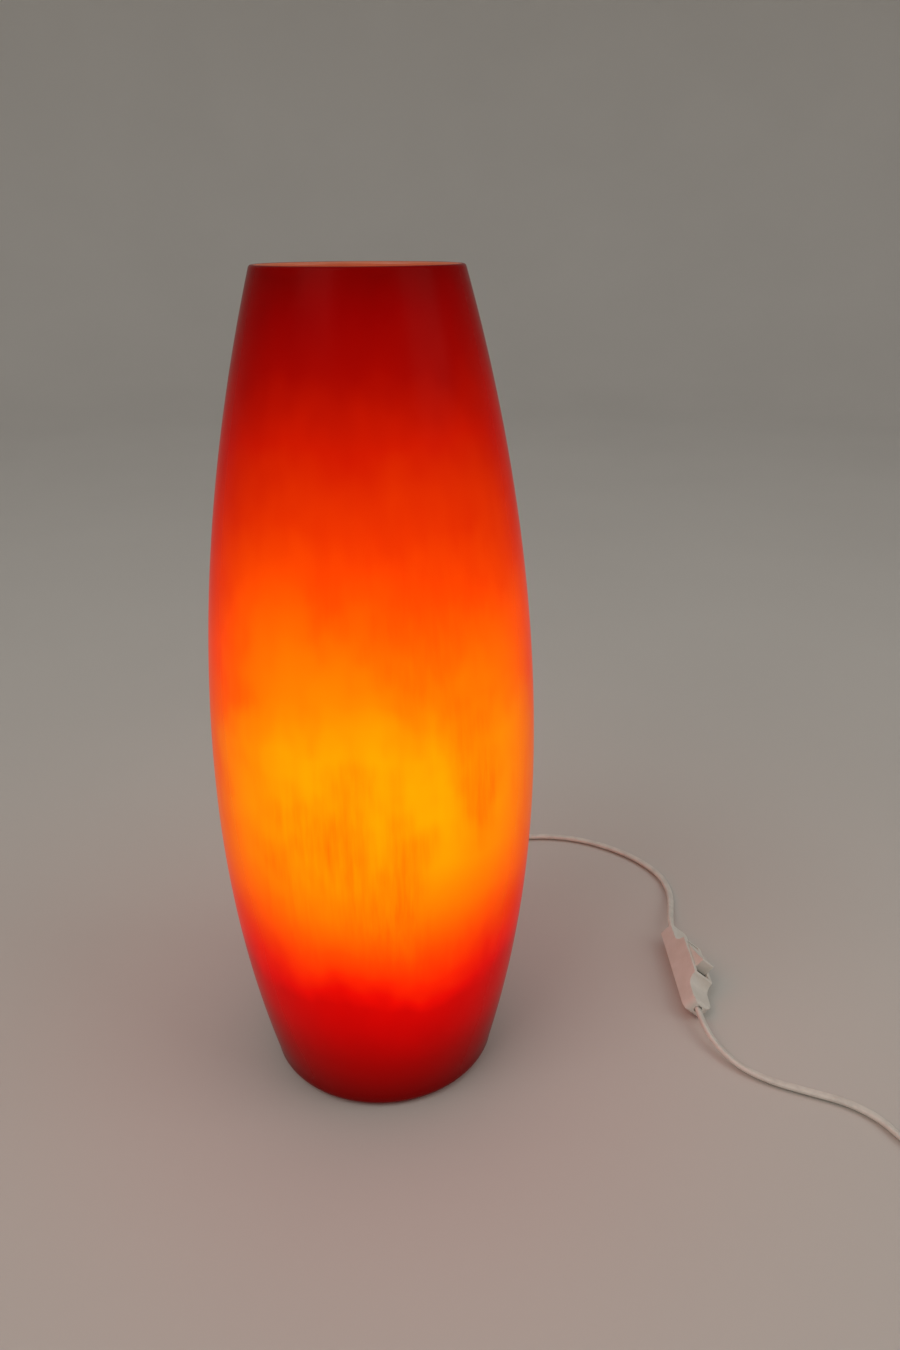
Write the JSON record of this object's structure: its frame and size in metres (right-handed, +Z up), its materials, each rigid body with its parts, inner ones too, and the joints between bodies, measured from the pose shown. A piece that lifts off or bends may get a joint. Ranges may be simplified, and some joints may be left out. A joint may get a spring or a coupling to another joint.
{
  "type": "table lamp",
  "caption": "Tall barrel-shaped coloured glass table lamp over a steel base, with screw-in bulb, flat flex, in-line rocker switch and two-pin plug.",
  "frame": {"origin": "on the table, at the centre of the glass's foot", "axes": "+Z up along the lamp's axis, +Y to the back where the lead leaves the glass, +X to the right, the side that the lead lies on"},
  "size_m": [0.4872, 0.3875, 0.46],
  "materials": {
    "shade_glass": "cased glass, orange-red over opal, satin",
    "steel": "pressed steel",
    "zinc": "zinc plated steel",
    "stem_paint": "white powder coat",
    "rubber": "moulded black rubber",
    "white_plastic": "moulded, smooth",
    "black_plastic": "moulded",
    "cord_pvc": "extruded flat two-core flex",
    "core_blue": "extruded insulation",
    "core_brown": "extruded insulation",
    "ceramic": "glazed porcelain",
    "brass": "pressed",
    "aluminium": "rolled",
    "black_glass": "fused glass insulator",
    "bulb_glass": "inside frosted, lit",
    "clear_glass": "clear",
    "filament": "coiled tungsten, lit"
  },
  "bodies": {
    "base": {"base_dish": "steel", "edge_trim": "rubber", "base_posts": "steel", "base_plate": "steel", "plate_screws": "zinc", "rubber_feet": "rubber", "threaded_nipple": "zinc", "stem_nut": "zinc", "lock_washer": "zinc", "stem_tube": "stem_paint", "inner_lead": "cord_pvc", "cord_bush": "white_plastic", "cord_clamp": "white_plastic", "clamp_screws": "zinc", "holder_cap": "white_plastic", "holder_body": "white_plastic", "holder_ring": "white_plastic", "holder_insert": "ceramic", "screw_shell": "brass", "centre_contact": "brass", "holder_terminals": "brass", "terminal_screws": "zinc", "holder_core_blue": "core_blue", "holder_core_brown": "core_brown", "lead_lamp_side": "cord_pvc", "lead_plug_side": "cord_pvc", "lead_coil": "cord_pvc", "lead_tail": "cord_pvc", "switch_base": "white_plastic", "switch_cover": "white_plastic", "switch_screws": "zinc", "switch_contacts": "brass", "neutral_link": "brass", "link_screws": "zinc", "plug_body": "white_plastic", "plug_sleeves": "black_plastic", "plug_pins": "brass"},
    "shade": {"glass_shade": "shade_glass"},
    "bulb_lift": {"bulb_contact": "zinc"},
    "bulb": {"bulb_insulator": "black_glass", "bulb_cap": "aluminium", "bulb_glass": "bulb_glass", "bulb_mount": "clear_glass", "filament_wires": "zinc", "filament": "filament"},
    "rocker": {"switch_rocker": "white_plastic", "rocker_pin": "steel", "switch_bridge": "brass"}
  },
  "joints": [
    {"name": "shade_lift", "type": "slide", "parent": "base", "child": "shade", "axis": [0, 0, 1], "range_m": [0, 0.27]},
    {"name": "bulb_rise", "type": "slide", "parent": "base", "child": "bulb_lift", "axis": [0, 0, 1], "range_m": [0, 0.0295]},
    {"name": "bulb_turn", "type": "hinge", "parent": "bulb_lift", "child": "bulb", "pos_m": [0, 0, 0.141], "axis": [0, 0, 1], "range_deg": [0, 2880]},
    {"name": "rocker_tilt", "type": "hinge", "parent": "base", "child": "rocker", "pos_m": [0.20627, 0.045, 0.01357], "axis": [-0.766, 0, 0.6428], "range_deg": [-32, 0]}
  ],
  "couplings": [
    {"joint": "bulb_rise", "follows": "bulb_turn", "m_per_rad": 0.00057757}
  ]
}
